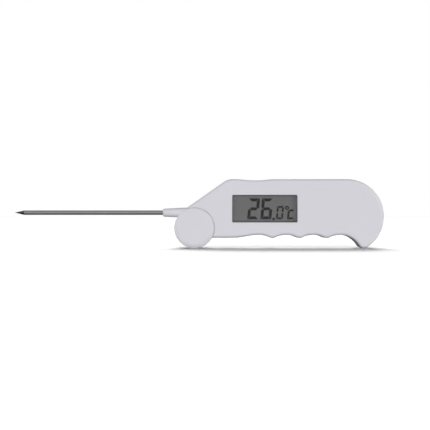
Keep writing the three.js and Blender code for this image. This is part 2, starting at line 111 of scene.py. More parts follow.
class CaseSizes(bpy.types.PropertyGroup):
    top: length("Top", "Height of the grip's flat top above the ground", 50.4)
    floor: length("Underside", "Height of the flat underside next to the hub", 7.6)
    fillet: length("Edge fillet", "Radius along the rims of the two broad faces", 3)
    grip_fillet: length("Grip fillet", "Radius along the rims of the finger grip", 2.0)
    seam: length("Half seam", "Half of the gap between the two shells", 0.15)
    seam_break: length("Seam edge", "Radius on the edges beside the seam", 0.25)
    butt: length("Butt radius", "Radius of the round butt", 27)
    hook: length("Hook radius", "Radius of the hollow in front of the hook", 16.5)
    tip: length("Hook tip radius", "Radius of the hook's lowest point", 4)
    crown: length("Scallop height", "Height of the finger scallops' hollows above the ground", 9.7)
    crown_radius: length("Scallop radius", "Radius of the finger scallops' hollows", 17.1)
    cusp_radius: length("Ridge radius", "Radius of the ridges between the scallops", 5)
    last_crown: length("Hook hollow", "Distance from the pivot to the hollow next to the hook", 106.38)
    window_wide: length("Window width", "Width of the display window", 47.5)
    window_high: length("Window height", "Height of the display window", 20)


class ProbeSizes(bpy.types.PropertyGroup):
    hub: length("Hub radius", "Radius of the round caps over the pivot", 14.75)
    core: length("Core radius", "Radius of the arm's disc between the caps", 14.6)
    crown: length("Cap crown", "Width of the caps' crowned border", 3.6)
    edge: length("Cap edge", "Radius on the caps' outer edge", 0.4)


class Finishes(bpy.types.PropertyGroup):
    plastic: colour("Plastic", "Moulded shells, hub and arm", (0.69, 0.683, 0.735))
    steel: colour("Needle steel", "Tube and tip", (0.60, 0.59, 0.57))
    display: colour("Display ground", "Display area without segments", (0.147, 0.147, 0.148))
    digits: colour("Display digits", "Dark display segments", (0.004, 0.004, 0.004))
    rubber: colour("Rubber", "Gasket and seals", (0.03, 0.03, 0.032))


class StageSettings(bpy.types.PropertyGroup):
    distance: length("Camera distance", "From the case's front face to the camera", 650)
    camera_u: length("Camera place", "Camera's distance from the pivot, along the object", 15.0)
    camera_z: length("Camera height", "Height of the camera above the ground", 24.2)
    field: length("Field width", "Width of the view at the case's front face", 313.2)
    floor_half: length("Floor half width", "Half the width of the floor", 6000)


def in_mm(group):
    """A property group's lengths in millimetres."""
    return SimpleNamespace(**{key: getattr(group, key) / MM for key in type(group).__annotations__})


# Outlines: lists of (u, z) in millimetres, u from the pivot and z from the ground, anticlockwise


def arc(u, z, r, start, stop, steps):
    turns = [math.radians(start + (stop - start) * i / steps) for i in range(steps + 1)]
    return [(u + r * math.cos(turn), z + r * math.sin(turn)) for turn in turns]


def sweep(a, b, c, d, steps):
    """A cubic curve from a to d that leaves towards b and arrives from c."""
    points = []
    for i in range(steps + 1):
        t = i / steps
        weights = ((1 - t) ** 3, 3 * t * (1 - t) ** 2, 3 * t * t * (1 - t), t**3)
        points.append(tuple(sum(w * p[k] for w, p in zip(weights, (a, b, c, d))) for k in (0, 1)))
    return points


def joined(*runs):
    """Runs of points as one closed outline, with doubled points taken out."""
    points = [point for run in runs for point in run]
    return [p for i, p in enumerate(points) if math.dist(p, points[(i + 1) % len(points)]) > 0.01]


def grown(points, distance):
    """The outline moved outwards, by one distance or by a distance for each point."""
    distances = distance if isinstance(distance, list) else [distance] * len(points)
    moved = []
    for i, (u, z) in enumerate(points):
        (pu, pz), (nu, nz) = points[i - 1], points[(i + 1) % len(points)]
        before = Vector((u - pu, z - pz)).normalized()
        after = Vector((nu - u, nz - z)).normalized()
        push = distances[i] / (1 + before.dot(after))
        moved.append((u + (before.y + after.y) * push, z - (before.x + after.x) * push))
    return moved


def rounded(u, z, wide, high, r, steps=8):
    half_u, half_z = wide / 2 - r, high / 2 - r
    corners = ((1, -1, -90), (1, 1, 0), (-1, 1, 90), (-1, -1, 180))
    return joined(*(arc(u + half_u * a, z + half_z * b, r, t, t + 90, steps) for a, b, t in corners))


SLANT = 35.1
SHOULDER = SimpleNamespace(u=27.8, z=39.45, r=11)
SCALLOP_TURN = 26.65
SCALLOPS = 3


def butt_of(case):
    """Where the hook's tip and the butt are centred, and the angles where their arcs meet."""
    turn = math.asin((case.tip + case.hook - case.crown) / (case.hook + case.tip))
    tip_u = case.last_crown + (case.hook + case.tip) * math.cos(turn)
    butt_z = case.top - case.butt
    butt_u = tip_u - math.sqrt((case.butt - case.tip) ** 2 - (butt_z - case.tip) ** 2)
    meet = math.degrees(math.atan2(case.tip - butt_z, tip_u - butt_u))
    return SimpleNamespace(u=butt_u, z=butt_z, tip_u=tip_u, hook_turn=math.degrees(turn), meet=meet)


def finger_grip(case):
    """The scallops of the underside, from the hollow nearest the hub to the one next to the hook."""
    reach = case.crown_radius + case.cusp_radius
    pitch = 2 * reach * math.sin(math.radians(SCALLOP_TURN))
    base = case.crown - case.crown_radius
    cusp_z = base + reach * math.cos(math.radians(SCALLOP_TURN))
    runs = []
    for left in range(SCALLOPS, 0, -1):
        u = case.last_crown - left * pitch
        runs += arc(u, base, case.crown_radius, 90, 90 - SCALLOP_TURN, 9)
        runs += arc(u + pitch / 2, cusp_z, case.cusp_radius, -90 - SCALLOP_TURN, SCALLOP_TURN - 90, 10)
        runs += arc(u + pitch, base, case.crown_radius, 90 + SCALLOP_TURN, 90, 9)
    return runs, case.last_crown - SCALLOPS * pitch


def grip_outline(case):
    """The grip from the side. Its lower left corner runs on past the hub, where the hub's space cuts it."""
    butt = butt_of(case)
    scallops, first = finger_grip(case)
    dip, peak = case.top - 0.9, case.top + 0.05
    return joined(
        sweep((28.4, case.floor), (35.9, case.floor), (39.4, case.crown), (first, case.crown), 16),
        scallops,
        arc(case.last_crown, case.crown - case.hook, case.hook, 90, butt.hook_turn, 18),
        arc(butt.tip_u, case.tip, case.tip, butt.hook_turn - 180, butt.meet, 18),
        arc(butt.u, butt.z, case.butt, butt.meet, 90, 56),
        sweep((60, case.top), (53, case.top), (52, dip), (45, dip), 12),
        sweep((45, dip), (38, dip), (34.8, peak), (SHOULDER.u, peak), 12),
        arc(SHOULDER.u, SHOULDER.z, SHOULDER.r, 90, 90 + SLANT, 14),
        [(-14, 23.48), (-6, case.floor)],
    )


def cavity_outline(case):
    butt = butt_of(case)
    return joined(
        [(131, 14.7)],
        arc(butt.u, butt.z, case.butt - 2.14, -15, 76.77, 24),
        arc(SHOULDER.u, SHOULDER.z, SHOULDER.r - 2.85, 90, 90 + SLANT, 8),
        arc(0, PIVOT_Z, 17.25, 80.85, -10.4, 24),
    )


# Modelling tools. Lengths are in millimetres, and only the mesh itself is in metres


def spot(u, y, z):
    return Vector((u + PIVOT.x, y, z)) * MM


def place_of(point):
    """A mesh point back in millimetres, u from the pivot."""
    return point.x / MM - PIVOT.x, point.y / MM, point.z / MM


def only(piece):
    """Makes a piece the only selected object, and the active one."""
    bpy.ops.object.select_all(action="DESELECT")
    piece.select_set(True)
    bpy.context.view_layer.objects.active = piece


def editing(piece):
    only(piece)
    bpy.ops.object.mode_set(mode="EDIT")


def done():
    bpy.ops.object.mode_set(mode="OBJECT")


def face_out():
    """Merges doubled points of the mesh in edit mode, and turns its faces outwards."""
    bpy.ops.mesh.select_all(action="SELECT")
    bpy.ops.mesh.remove_doubles(threshold=1e-7)
    bpy.ops.mesh.normals_make_consistent(inside=False)


def ring_of(name, corners, fill):
    """A ring of points, added as a circle and then moved to its corners."""
    bpy.ops.object.select_all(action="DESELECT")
    bpy.ops.mesh.primitive_circle_add(vertices=len(corners), fill_type=fill)
    piece = bpy.context.object
    piece.name = name
    for vertex, corner in zip(piece.data.vertices, corners):
        vertex.co = corner
    return piece


def stack(name, rings):
    """A solid through rings of corners, extruded from each ring to the next and closed at both ends."""
    piece = ring_of(name, rings[0], "NGON")
    order = piece.data.attributes.new("order", "INT", "POINT")
    order.data.foreach_set("value", range(len(rings[0])))
    editing(piece)
    bpy.ops.mesh.select_all(action="SELECT")
    for ring in rings[1:]:
        bpy.ops.mesh.extrude_region_move()
        mesh = bmesh.from_edit_mesh(piece.data)
        layer = mesh.verts.layers.int["order"]
        for vertex in mesh.verts:
            if vertex.select:
                vertex.co = ring[vertex[layer]]
        bmesh.update_edit_mesh(piece.data)
    face_out()
    done()
    piece.data.attributes.remove(piece.data.attributes["order"])
    return piece


def slab(name, points, y0, y1):
    """An outline, filled and given a thickness along Y."""
    return stack(name, [[spot(u, y, z) for u, z in points] for y in (y0, y1)])


def block(name, low, high):
    (u0, y0, z0), (u1, y1, z1) = low, high
    return slab(name, [(u0, z0), (u1, z0), (u1, z1), (u0, z1)], y0, y1)


def drum(name, r, y0, y1, u=0, z=PIVOT_Z, sides=96):
    return slab(name, arc(u, z, r, 0, 360 - 360 / sides, sides - 1), y0, y1)


def washer(name, outer, inner, y0, y1, u=0, z=PIVOT_Z, sides=96):
    piece = drum(name, outer, y0, y1, u, z, sides)
    return cut(piece, drum("bore", inner, y0 - 1, y1 + 1, u, z, sides))


def turned(name, profile, u=0, z=PIVOT_Z, along="Y", steps=96):
    """A closed profile of (radius, distance along the axis), spun about Y or X."""
    if along == "Y":
        corners, axis, centre = [spot(u + r, d, z) for r, d in profile], (0, 1, 0), spot(u, 0, z)
    else:
        corners, axis, centre = [spot(d, 0, z + r) for r, d in profile], (1, 0, 0), spot(0, 0, z)
    piece = ring_of(name, corners, "NOTHING")
    if profile[0][0] == 0:
        editing(piece)
        mesh = bmesh.from_edit_mesh(piece.data)
        mesh.verts.ensure_lookup_table()
        ends = {mesh.verts[0], mesh.verts[len(corners) - 1]}
        for edge in mesh.edges:
            edge.select_set(set(edge.verts) == ends)
        bpy.ops.mesh.delete(type="EDGE_FACE")
        done()
    editing(piece)
    bpy.ops.mesh.select_all(action="SELECT")
    bpy.ops.mesh.spin(steps=steps, angle=math.tau, center=centre, axis=axis, use_auto_merge=True)
    face_out()
    done()
    return piece


def combine(piece, tools, operation):
    for tool in tools:
        modifier = piece.modifiers.new("combine", "BOOLEAN")
        modifier.operation = operation
        modifier.solver = "MANIFOLD"
        modifier.object = tool
        only(piece)
        bpy.ops.object.modifier_apply(modifier=modifier.name)
        bpy.data.objects.remove(tool)
    return piece


def cut(piece, *tools):
    return combine(piece, tools, "DIFFERENCE")


def weld(piece, *tools):
    return combine(piece, tools, "UNION")


def common(piece, *tools):
    return combine(piece, tools, "INTERSECT")


def round_edges(piece, width, segments, test, sharpest=40):
    """Rounds the sharp edges whose two ends pass a test on (u, y, z)."""
    editing(piece)
    bpy.ops.mesh.select_mode(type="EDGE")
    bpy.ops.mesh.select_all(action="DESELECT")
    mesh = bmesh.from_edit_mesh(piece.data)
    for edge in mesh.edges:
        bent = len(edge.link_faces) == 2 and edge.calc_face_angle() > math.radians(sharpest)
        edge.select_set(bent and all(test(*place_of(vertex.co)) for vertex in edge.verts))
    bmesh.update_edit_mesh(piece.data)
    bpy.ops.mesh.bevel(offset=width * MM, segments=segments, profile=0.5, clamp_overlap=False)
    done()
    return piece


def at_y(y):
    return lambda u, v, z: abs(v - y) < 0.002


def near(value, target, slack=0.02):
    return abs(value - target) < slack


def soften(piece, angle=30):
    """Smooth shading up to an angle, with broad faces kept flat."""
    only(piece)
    bpy.ops.object.shade_smooth_by_angle(angle=math.radians(angle))
    modifier = piece.modifiers.new("weights", "WEIGHTED_NORMAL")
    modifier.keep_sharp = True
    bpy.ops.object.modifier_apply(modifier=modifier.name)


def fit(piece, body, finish, nodes=()):
    """Gives a finished piece its material and its body, and hides the CAD nodes that it stands for."""
    soften(piece)
    piece.data.materials.clear()
    piece.data.materials.append(finish)
    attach(piece, body)
    if nodes:
        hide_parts(*nodes)


# Materials


class Wire:
    """One socket of a material, with the sums that its Math nodes do."""

    def __init__(self, surface, socket):
        self.surface = surface
        self.socket = socket

    def with_(self, operation, *terms):
        return self.surface.node("ShaderNodeMath", {"operation": operation}, dict(enumerate(terms)))

    def __add__(self, other):
        return self.with_("ADD", self, other)

    def __sub__(self, other):
        return self.with_("SUBTRACT", self, other)

    def __rsub__(self, other):
        return self.with_("SUBTRACT", other, self)

    def __mul__(self, other):
        return self.with_("MULTIPLY", self, other)

    def __truediv__(self, other):
        return self.with_("DIVIDE", self, other)

    def __lt__(self, other):
        return self.with_("LESS_THAN", self, other)

    def __gt__(self, other):
        return self.with_("GREATER_THAN", self, other)

    def __abs__(self):
        return self.with_("ABSOLUTE", self)

    __radd__ = __add__
    __rmul__ = __mul__


class Nodes:
    """A node tree, whose nodes are all made by node()."""

    def __init__(self, tree):
        self.tree = tree

    def node(self, kind, settings, values, output=0):
        made = self.tree.nodes.new(kind)
        stops = settings.pop("stops", None)
        for key, value in settings.items():
            setattr(made, key, value)
        if stops:
            while len(made.color_ramp.elements) < len(stops):
                made.color_ramp.elements.new(0.5)
            for element, (position, shade) in zip(made.color_ramp.elements, stops):
                element.position = position
                element.color = (shade, shade, shade, 1)
        self.feed(made, values)
        return Wire(self, made.outputs[output])

    def feed(self, made, values):
        for key, value in values.items():
            if isinstance(value, Wire):
                self.tree.links.new(value.socket, made.inputs[key])
            else:
                made.inputs[key].default_value = value

    def ramp(self, value, *stops):
        return self.node("ShaderNodeValToRGB", {"stops": stops}, {0: value})


class Surface(Nodes):
    """A material with one Principled shader."""

    def __init__(self, name):
        self.material = bpy.data.materials.new(name)
        self.material.use_nodes = True
        super().__init__(self.material.node_tree)
        self.shader = next(n for n in self.tree.nodes if n.type == "BSDF_PRINCIPLED")
        self.coords = self.node("ShaderNodeTexCoord", {}, {}, "Object")

    def axis(self, name):
        """One Object coordinate in millimetres, u from the pivot."""
        metres = self.node("ShaderNodeSeparateXYZ", {}, {0: self.coords}, name)
        return metres / MM - (PIVOT.x if name == "X" else 0)

    def noise(self, size, detail=2.0, rough=0.5, stretch=(1, 1, 1)):
        """Noise with features of a size in millimetres, from 0 to 1."""
        scale = tuple(1 / (MM * size * s) for s in stretch)
        place = self.node("ShaderNodeMapping", {}, {"Vector": self.coords, "Scale": scale})
        values = {"Vector": place, "Scale": 1.0, "Detail": detail, "Roughness": rough}
        return self.node("ShaderNodeTexNoise", {}, values, 0)

    def blend(self, factor, first, second):
        """A Mix node for colours, whose colour sockets are inputs 6 and 7 and output 2."""
        return self.node("ShaderNodeMix", {"data_type": "RGBA"}, {0: factor, 6: first, 7: second}, 2)

    def bump(self, height, depth, strength=1.0, under=None):
        """A bump whose full height is a depth in millimetres."""
        values = {"Height": height, "Distance": depth * MM, "Strength": strength}
        if under:
            values["Normal"] = under
        return self.node("ShaderNodeBump", {}, values)

    def done(self, **values):
        self.feed(self.shader, {key.replace("_", " "): value for key, value in values.items()})
        return self.material


def rgba(shade, gain=1.0):
    return (shade[0] * gain, shade[1] * gain, shade[2] * gain, 1)


def moulded_plastic(name, shade, roughness=0.4, grain=0.32):
    """Moulded plastic with a fine spark-eroded grain and a faint change of tone from part to part."""
    surface = Surface(name)
    drift = surface.noise(38, detail=1)
    tone = surface.blend(drift, rgba(shade, 0.985), rgba(shade, 1.015))
    skin = surface.noise(grain, detail=3, rough=0.6)
    sheen = surface.noise(6, detail=2) * 0.06 + (roughness - 0.03)
    return surface.done(
        Base_Color=tone,
        Roughness=sheen,
        Normal=surface.bump(skin, 0.006, 0.5),
        Specular_IOR_Level=0.45,
    )


def drawn_steel(name, shade):
    """Steel with fine lines along the needle from drawing and polishing."""
    surface = Surface(name)
    lines = surface.noise(0.12, detail=2, rough=0.6, stretch=(120, 1, 1))
    wipe = surface.noise(7, detail=2, stretch=(4, 1, 1))
    tone = surface.blend(lines, rgba(shade, 0.95), rgba(shade, 1.05))
    return surface.done(
        Base_Color=tone,
        Roughness=lines * 0.04 + wipe * 0.04 + 0.05,
        Metallic=1.0,
        Normal=surface.bump(lines, 0.0008, 0.4),
    )


def ground_steel(name, shade):
    """The tip, ground round its point."""
    surface = Surface(name)
    rings = surface.noise(0.07, detail=2, stretch=(1, 30, 30))
    tone = surface.blend(rings, rgba(shade, 0.92), rgba(shade, 1.12))
    return surface.done(
        Base_Color=tone,
        Roughness=rings * 0.06 + 0.1,
        Metallic=1.0,
        Normal=surface.bump(rings, 0.0015, 0.5),
    )


def plated_steel(name, shade, roughness):
    """Plated steel, such as screws and the cell's can."""
    surface = Surface(name)
    cloud = surface.noise(1.4, detail=4)
    tone = surface.blend(cloud, rgba(shade, 0.85), rgba(shade, 1.08))
    return surface.done(
        Base_Color=tone,
        Roughness=cloud * 0.15 + roughness,
        Metallic=1.0,
        Normal=surface.bump(surface.noise(0.25, detail=2), 0.003, 0.5),
    )


def dull(name, shade, roughness, grain=0.4):
    """Rubber, resin, board and insulation: one tone, broken up a little."""
    surface = Surface(name)
    cloud = surface.noise(3, detail=3)
    tone = surface.blend(cloud, rgba(shade, 0.85), rgba(shade, 1.15))
    return surface.done(
        Base_Color=tone,
        Roughness=cloud * 0.1 + (roughness - 0.05),
        Normal=surface.bump(surface.noise(grain, detail=2), 0.01, 0.4),
    )


def clear(name, shade, alpha, roughness, gloss=0.5):
    """Clear plastic or glass, which shows what is behind it and keeps a gloss."""
    surface = Surface(name)
    film = surface.noise(9, detail=2)
    return surface.done(
        Base_Color=rgba(shade),
        Roughness=film * 0.04 + roughness,
        Alpha=alpha,
        Specular_IOR_Level=gloss,
        Normal=surface.bump(surface.noise(14, detail=1), 0.002, 0.3),
    )


def display_ground_painted_shade(shade):
    """The display's face: an even grey with painted shade that deepens it at its edges, most at the right
    and below, as the window's rim would shade it.
    """
    surface = Surface("display_ground_painted_shade")
    case = in_mm(bpy.context.scene.thermometer_case)
    across = (surface.axis("X") - WINDOW.x) / case.window_wide + 0.5
    up = (surface.axis("Z") - WINDOW.z) / case.window_high + 0.5
    cloud = surface.noise(5, detail=3) * 0.1
    # Painted shade: these ramps darken bands along the face's edges, where the window's rim would cast
    # shade. The noise only varies the tone.
    left, right = ((0.0, 0.3), (0.07, 0.02), (0.12, 0.0)), ((0.9, 0.0), (0.945, 0.3), (1.0, 0.45))
    foot, head = ((0.0, 0.6), (0.055, 0.55), (0.075, 0.0)), ((0.9, 0.0), (0.93, 0.15), (1.0, 0.35))
    sides = surface.ramp(across, *left, *right)
    ends = surface.ramp(up, *foot, *head)
    tone = surface.blend(sides + ends + cloud, rgba(shade, 1.05), rgba(shade, 0.25))
    return surface.done(
        Base_Color=tone,
        Roughness=surface.noise(2, detail=2) * 0.05 + 0.3,
        Normal=surface.bump(surface.noise(0.12, detail=1), 0.002, 0.3),
    )


def printed_label(shade):
    """A satin label with a printed frame and ruled lines."""
    surface = Surface("printed_label")
    u, z = abs(surface.axis("X") - LABEL.x), abs(surface.axis("Z") - LABEL.z)
    wide, high = (LABEL_HIGH.x - LABEL_LOW.x) / 2 - 1.6, (LABEL_HIGH.z - LABEL_LOW.z) / 2 - 1.6
    inside = u.with_("MAXIMUM", u - wide, z - high)
    frame_line = abs(inside) < 0.18
    rise = surface.axis("Z") - LABEL.z
    row = abs(rise.with_("PINGPONG", rise + 20, 2.6) - 1.3) < 0.09
    ruled = row * (inside < -3.2)
    ink = frame_line.with_("MAXIMUM", frame_line, ruled)
    worn = surface.noise(0.8, detail=3)
    tone = surface.blend(ink * 0.9, rgba(shade), (0.09, 0.09, 0.1, 1))
    return surface.done(
        Base_Color=tone,
        Roughness=worn * 0.12 + 0.38,
        Normal=surface.bump(worn, 0.004, 0.4),
    )


def finish(name):
    """The material of that name, made once."""
    found = bpy.data.materials.get(name)
    if found:
        return found
    tones = bpy.context.scene.thermometer_finishes
    makers = {
        "white_plastic": lambda: moulded_plastic(name, tones.plastic),
        "needle_steel": lambda: drawn_steel(name, tones.steel),
        "tip_steel": lambda: ground_steel(name, tones.steel),
        "screw_steel": lambda: plated_steel(name, (0.5, 0.5, 0.51), 0.3),
        "cell_steel": lambda: plated_steel(name, (0.68, 0.68, 0.69), 0.22),
        "brass": lambda: plated_steel(name, (0.70, 0.52, 0.25), 0.28),
        "rubber": lambda: dull(name, tones.rubber, 0.8),
        "black_resin": lambda: dull(name, (0.012, 0.012, 0.013), 0.4),
        "solder_mask": lambda: dull(name, (0.03, 0.15, 0.06), 0.42),
        "lead_insulation": lambda: dull(name, (0.45, 0.05, 0.04), 0.5),
        "display_film": lambda: dull(name, (0.17, 0.18, 0.18), 0.4),
        "display_ink": lambda: dull(name, tones.digits, 0.45),
        "display_ground_painted_shade": lambda: display_ground_painted_shade(tones.display),
        "printed_label": lambda: printed_label((0.72, 0.72, 0.71)),
        "lens_plastic": lambda: clear(name, (0.12, 0.12, 0.12), 0.06, 0.05, 0.2),
        "inner_glass": lambda: clear(name, (0.85, 0.88, 0.87), 0.12, 0.04),
    }
    return makers[name]()


# Pieces of the case

SHELL_FEATURES = SimpleNamespace(
    hub_space=15.05,
    cap_space=14.86,
    ear=14.4,
    ear_bore=7.1,
    ear_inner=4.1,
    ear_outer=6.1,
    front_inside=-7,
    rear_inside=7.5,
)


def hub_space():
    """The room that the caps, the arm's disc and the arm's swing take out of the case."""
    f = SHELL_FEATURES
    return [
        drum("front_space", f.cap_space, -20, -f.ear_outer, sides=160),
        drum("middle_space", f.hub_space, -f.ear_inner, f.ear_inner, sides=160),
        drum("rear_space", f.cap_space, f.ear_outer, 20, sides=160),
        block("arm_swing", (-30, -20, PIVOT_Z - 30), (-2.5, 20, 2 * PIVOT_Z + 0.45)),
    ]


def needle_trench():
    """The slot that the folded needle lies in, and the wider cradle for its arm."""
    top = [5.66 + 0.0524 * u for u in (SHELL_FEATURES.hub_space, 0)]
    end = arc(0, PIVOT_Z, 133.5, -8.5, -0.9, 8)
    left = SHELL_FEATURES.hub_space
    trench = slab("trench", [*end, (left, top[0]), (left, -5)], -2.1, 2.1)
    cradle = turned("cradle", [(0, 8), (3.9, 8), (3.9, 24.5), (0, 24.5)], z=4.3, along="X", steps=48)
    return [trench, cradle]


def seam_ring(name, case, inner, outer, y):
    ring = slab(name, grown(cavity_outline(case), outer), -y, y)
    return cut(ring, slab("inside", grown(cavity_outline(case), inner), -y - 1, y + 1))


RIM_STEPS = 10
SEAM_STEPS = 3
GRIP_TOP = 12
BUTT_MIDDLE = 26


def rim_radius(case, z):
    """The rim's radius at a height: small along the finger grip, and growing to its full size above it."""
    t = min(max((z - GRIP_TOP) / (BUTT_MIDDLE - GRIP_TOP), 0), 1)
    return case.grip_fillet + (case.fillet - case.grip_fillet) * t * t * (3 - 2 * t)


def shell_blank(name, case, side, face_y):
    """Half of the case, solid: a small round by the seam, the wall, and the round rim of the broad face."""
    outline = grip_outline(case)
    rims = [rim_radius(case, z) for _, z in outline]
    rings = []
    for i in range(SEAM_STEPS + 1):
        turn = math.radians(90 * i / SEAM_STEPS)
        inset = grown(outline, case.seam_break * (math.sin(turn) - 1))
        y = side * (case.seam + case.seam_break * (1 - math.cos(turn)))
        rings.append([spot(u, y, z) for u, z in inset])
    for i in range(RIM_STEPS + 1):
        turn = math.radians(90 * i / RIM_STEPS)
        inset = grown(outline, [rim * (math.cos(turn) - 1) for rim in rims])
        depths = [face_y - side * rim * (1 - math.sin(turn)) for rim in rims]
        rings.append([spot(u, y, z) for (u, z), y in zip(inset, depths)])
    shell = stack(name, rings)
    f = SHELL_FEATURES
    cut(shell, *hub_space())
    weld(shell, drum("ear", f.ear, side * f.ear_inner, side * f.ear_outer, sides=160))
    cut(shell, drum("ear_bore", f.ear_bore, -10, 10))
    cut(shell, *needle_trench())
    return cut(shell, seam_ring("groove", case, 0.45, 1.35, 0.85))


def as_one(pieces):
    """Several pieces joined into the first of them."""
    only(pieces[0])
    for piece in pieces:
        piece.select_set(True)
    bpy.ops.object.join()
    return pieces[0]


def posts(name, places, r, y0, y1, sides=40):
    """One drum at each place, joined into one tool."""
    made = [drum(name, r, y0, y1, p.x, p.z, sides) for p in places]
    return as_one(made)


def front_shell(case):
    f = SHELL_FEATURES
    shell = shell_blank("front_shell", case, -1, CASE_LOW.y)
    cut(shell, slab("cavity", cavity_outline(case), f.front_inside, 1))
    case_posts = posts("posts", SCREWS, 2.9, -7.2, 2.8)
    clip = slab("clip", grown(cavity_outline(case), -0.3), -1, 3)
    weld(clip, block("below", (0, -8, 5), (140, -0.15, 49)))
    weld(shell, common(case_posts, clip), posts("board_posts", BOARD_SCREWS, 2.2, -7.2, -1.6))
    cut(shell, posts("pilots", SCREWS, 1.2, -5, 3), posts("board_pilots", BOARD_SCREWS, 1, -5.5, -1))
    wide, high = case.window_wide, case.window_high
    cut(shell, slab("window", rounded(WINDOW.x, WINDOW.z, wide, high, 0.8), -10, -6))
    cut(shell, slab("rebate", rounded(WINDOW.x, WINDOW.z, wide + 3, high + 3, 1), -8.05, -6))
    cut(shell, block("lead_slot", (6, -6.15, PIVOT_Z + 3), (19, -4.6, PIVOT_Z + 5)))
    cut(shell, block("lead_notch", (5.9, -6.15, PIVOT_Z + 3), (7.4, -4, PIVOT_Z + 5)))
    round_edges(shell, 0.35, 4, on_outline(CASE_LOW.y, WINDOW, wide, high))
    round_edges(shell, 0.25, 3, on_hub_rim(-f.ear_outer - 0.02))
    return shell


def on_outline(face, centre, wide, high):
    """Tests for edges that lie on one broad face, within the bounds of an opening."""
    def test(u, y, z):
        in_wide, in_high = abs(u - centre.x) < wide / 2 + 0.1, abs(z - centre.z) < high / 2 + 0.1
        return near(y, face) and in_wide and in_high
    return test


def on_hub_rim(beyond):
    """Tests for the edge where the hub's round space breaks through a broad face."""
    def test(u, y, z):
        outside = y < beyond if beyond < 0 else y > beyond
        return outside and near(math.hypot(u, z - PIVOT_Z), SHELL_FEATURES.cap_space, 0.05)
    return test


HEAD_WELL_R = 2.7
COVER = SimpleNamespace(recess=14.9, opening=11.6, bayonets=(90, 210, 330), unlock=45)


def slice_of(name, outer, inner, angle, half, y0, y1):
    """A slice of a ring about the coin cell's axis, centred on an angle."""
    out = arc(CELL_U, CELL_Z, outer, angle - half, angle + half, 12)
    back = arc(CELL_U, CELL_Z, inner, angle + half, angle - half, 12)
    return slab(name, [*out, *back], y0, y1)


def arrow_head(name, angle, r, size, y0, y1):
    """A small triangle that points at the coin cell's axis."""
    u, z = CELL_U + r * math.cos(math.radians(angle)), CELL_Z + r * math.sin(math.radians(angle))
    return slab(name, arc(u, z, size, angle + 180, angle + 420, 2), y0, y1)


def rear_shell(case):
    f = SHELL_FEATURES
    face = REAR_HIGH.y
    shell = shell_blank("rear_shell", case, 1, face)
    cut(shell, slab("cavity", cavity_outline(case), -1, f.rear_inside))
    weld(shell, posts("columns", SCREWS, 3.6, 3, 7.7), drum("door_ring", 16.2, 6.6, 7.7, CELL_U, CELL_Z))
    cut(shell, posts("head_wells", SCREWS, HEAD_WELL_R, 4.5, 12, 48), posts("clearances", SCREWS, 1.3, 2, 5))
    cut(
        shell,
        drum("door_recess", COVER.recess, 8.2, 12, CELL_U, CELL_Z, 160),
        drum("door_opening", COVER.opening, 6, 9, CELL_U, CELL_Z),
        washer("seal_groove", 14.3, 13.3, 7.4, 8.3, CELL_U, CELL_Z),
        *(slice_of("notch", 13, 10, angle, 17, 6, 9) for angle in COVER.bayonets),
    )
    wide, high = LABEL_HIGH.x - LABEL_LOW.x + 0.6, LABEL_HIGH.z - LABEL_LOW.z + 0.6
    cut(shell, slab("label_seat", rounded(LABEL.x, LABEL.z, wide, high, 2.3), face - 0.45, 12))
    marks = (90, 90 + COVER.unlock)
    cut(shell, *(arrow_head("mark", angle, 17, 0.9, face - 0.3, 12) for angle in marks))
    round_edges(
        shell, 0.3, 3,
        lambda u, y, z: near(y, face) and near(math.hypot(u - CELL_U, z - CELL_Z), COVER.recess, 0.05),
    )
    round_edges(
        shell, 0.3, 3,
        lambda u, y, z: near(y, face)
        and any(near(math.hypot(u - p.x, z - p.z), HEAD_WELL_R, 0.05) for p in SCREWS),
    )
    round_edges(shell, 0.12, 2, on_outline(face, LABEL, wide, high))
    round_edges(shell, 0.25, 3, on_hub_rim(f.ear_outer + 0.02))
    return shell


class BuildCase(bpy.types.Operator):
    """Builds the two shells, the gasket between them and the label on the back."""

    bl_idname = "thermometer.build_case"
    bl_label = "Build case"

    def execute(self, context):
        case = in_mm(context.scene.thermometer_case)
        white = finish("white_plastic")
        fit(front_shell(case), "housing", white, ["front_housing"])
        fit(rear_shell(case), "housing", white, ["rear_housing"])
        gasket = seam_ring("shell_gasket", case, 0.55, 1.25, 0.75)
        fit(gasket, "housing", finish("rubber"), ["housing_gasket"])
        label = slab(
            "back_label",
            rounded(LABEL.x, LABEL.z, LABEL_HIGH.x - LABEL_LOW.x, LABEL_HIGH.z - LABEL_LOW.z, 2),
            LABEL_LOW.y, LABEL_HIGH.y,
        )
        round_edges(label, 0.06, 2, at_y(LABEL_HIGH.y))
        fit(label, "housing", finish("printed_label"), ["rear_label"])
        return {"FINISHED"}


def screw(name, centre, head, head_y, shank, shank_y):
    """A pan-head screw along Y with a cross recess, its head towards +Y."""
    under, top = head_y
    crown = [(head - 0.55 + 0.55 * math.sin(t), top - 0.55 + 0.55 * math.cos(t)) for t in
             (math.radians(90 - 15 * i) for i in range(7))]
    profile = [(0, shank_y), (shank * 0.5, shank_y), (shank, shank_y + 0.8), (shank, under), (head, under),
               *crown, (0, top)]
    piece = turned(name, profile, centre.x, centre.z, steps=48)
    for turn in (0, 90):
        arm = slab("driver", [(centre.x - 1.35, centre.z - 0.27), (centre.x + 1.35, centre.z - 0.27),
                              (centre.x + 1.35, centre.z + 0.27), (centre.x - 1.35, centre.z + 0.27)],
                   top - 0.75, top + 1)
        only(arm)
        bpy.ops.transform.rotate(value=math.radians(turn), orient_axis="Y",
                                 center_override=spot(centre.x, top, centre.z))
        bpy.ops.object.transform_apply(location=True, rotation=True, scale=True)
        cut(piece, arm)
    return piece


